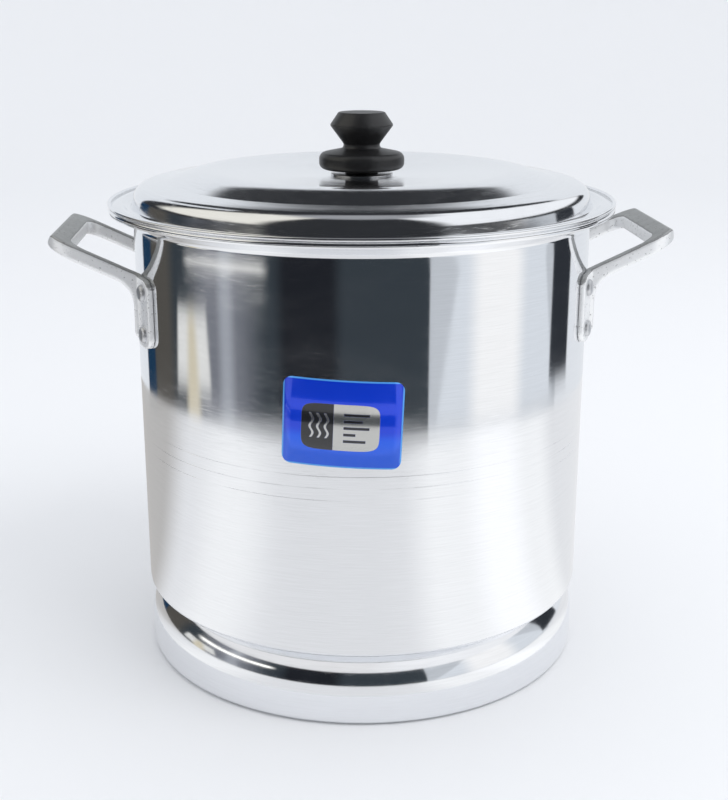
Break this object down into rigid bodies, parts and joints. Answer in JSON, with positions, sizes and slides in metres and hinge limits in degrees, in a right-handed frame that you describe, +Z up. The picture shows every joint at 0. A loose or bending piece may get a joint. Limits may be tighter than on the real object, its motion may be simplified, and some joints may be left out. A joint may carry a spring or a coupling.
{
  "type": "stock pot",
  "caption": "Spun aluminium stock pot with a waist groove that carries a lift-out steamer rack, a lift-off lid with a screwed knob, and riveted cast loop handles",
  "frame": {"origin": "the point where the pot's axis meets the surface it stands on", "axes": "+Z up along the pot's axis, +X through the two handles, -Y the front, where the label is"},
  "size_m": [0.4012, 0.332, 0.3628],
  "materials": {
    "pot_aluminium": "turned and polished sheet, fine lines round the wall",
    "lid_aluminium": "turned and polished sheet, fine circles round the knob",
    "rack_aluminium": "plain punched sheet",
    "cast_aluminium": "as cast, dull and pitted",
    "rivet_aluminium": "upset heads, lightly dulled",
    "washer_steel": "bright plated",
    "screw_steel": "bright plated",
    "insert_brass": "turned and tapped",
    "knob_plastic": "moulded, satin black",
    "label_film": "printed film, glossy"
  },
  "bodies": {
    "pot": {"pot_shell": "pot_aluminium", "right_handle": "cast_aluminium", "left_handle": "cast_aluminium", "front_label": "label_film", "rivet_right_front_upper": "rivet_aluminium", "rivet_right_front_lower": "rivet_aluminium", "rivet_right_rear_upper": "rivet_aluminium", "rivet_right_rear_lower": "rivet_aluminium", "rivet_left_front_upper": "rivet_aluminium", "rivet_left_front_lower": "rivet_aluminium", "rivet_left_rear_upper": "rivet_aluminium", "rivet_left_rear_lower": "rivet_aluminium"},
    "rack": {"steamer_rack": "rack_aluminium"},
    "lid": {"lid_shell": "lid_aluminium", "seat_washer": "washer_steel", "lid_knob": "knob_plastic", "knob_insert": "insert_brass", "lock_washer": "washer_steel", "knob_screw": "screw_steel"}
  },
  "joints": [
    {"name": "lid_lift", "type": "slide", "parent": "pot", "child": "lid", "axis": [0, 0, 1], "range_m": [0, 0.2]},
    {"name": "rack_lift", "type": "slide", "parent": "pot", "child": "rack", "axis": [0, 0, 1], "range_m": [0, 0.24]}
  ]
}
